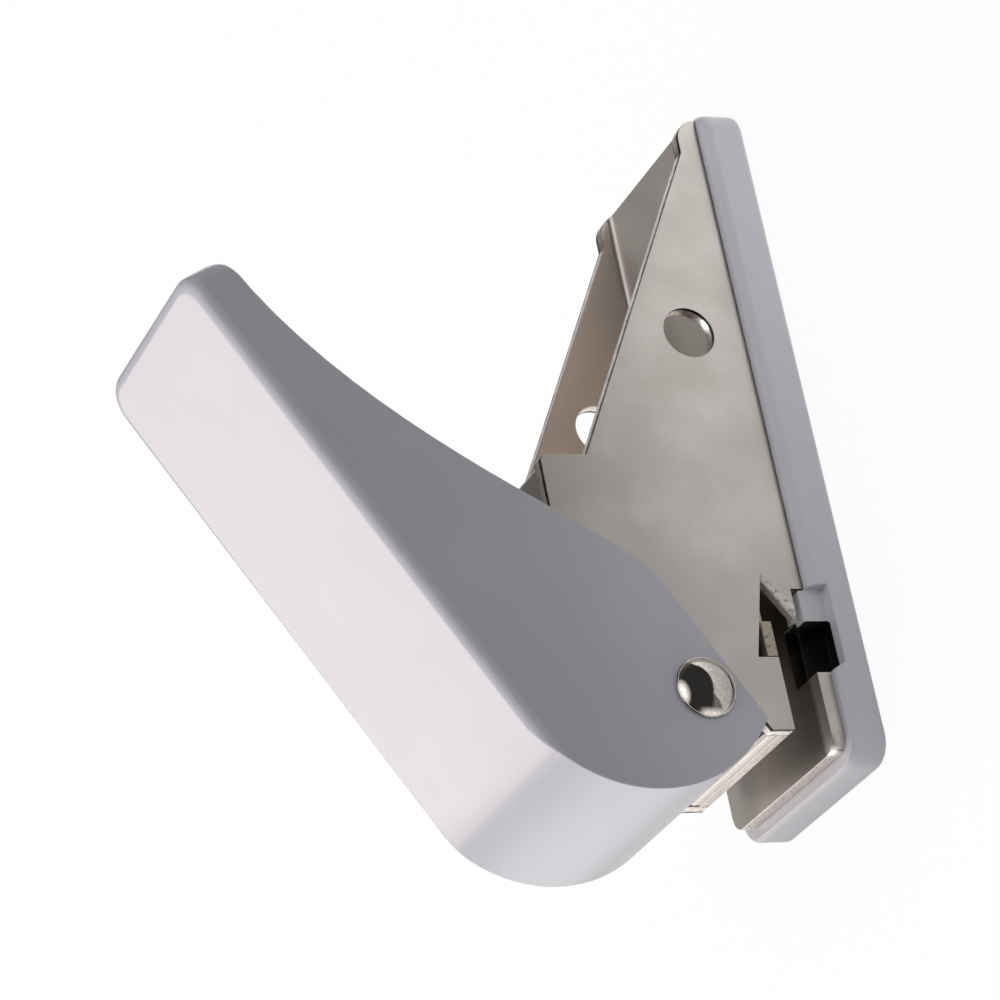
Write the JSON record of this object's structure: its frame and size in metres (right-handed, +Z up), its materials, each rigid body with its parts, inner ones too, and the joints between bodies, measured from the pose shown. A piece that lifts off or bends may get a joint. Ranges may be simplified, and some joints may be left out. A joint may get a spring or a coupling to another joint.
{
  "type": "dart flight punch",
  "caption": "Small hand-lever punch: a plastic lever drives a flat blade through a throat slot in a folded steel frame to cut a slot in a dart flight.",
  "frame": {"origin": "middle of the base shoe's flat underside", "axes": "+X from the punch end towards the nose and the lever's tip, +Z up from the surface it stands on"},
  "size_m": [0.0645, 0.0248, 0.0547],
  "materials": {
    "lever_plastic": "fine moulded texture, light grey",
    "shoe_plastic": "smooth moulded, grey",
    "plated_sheet": "satin nickel plate on steel sheet",
    "bright_rivet": "bright nickel plate",
    "plain_steel": "ground steel",
    "spring_wire": "drawn spring wire"
  },
  "bodies": {
    "base": {"base_shoe": "shoe_plastic", "frame": "plated_sheet", "guide_bracket": "plated_sheet", "pivot_rivet": "bright_rivet", "rivet_cap": "bright_rivet", "pivot_spacer": "plain_steel", "return_spring": "spring_wire"},
    "lever": {"lever": "lever_plastic"},
    "punch": {"punch_plunger": "plain_steel", "punch_blade": "plain_steel", "blade_pin": "plain_steel", "spring_washer": "plain_steel", "retaining_clip": "spring_wire"}
  },
  "joints": [
    {"name": "lever_hinge", "type": "hinge", "parent": "base", "child": "lever", "pos_m": [-0.02485, 0, 0.0162], "axis": [0, 1, 0], "range_deg": [0, 32.2], "stiffness_Nm_per_rad": 0.06, "springref_deg": -34.38},
    {"name": "punch_slide", "type": "slide", "parent": "base", "child": "punch", "axis": [0, 0, -1], "range_m": [0, 0.00405], "deforming": ["return_spring"]}
  ],
  "couplings": [
    {"joint": "punch_slide", "follows": "lever_hinge", "m_per_rad": 0.0072}
  ]
}
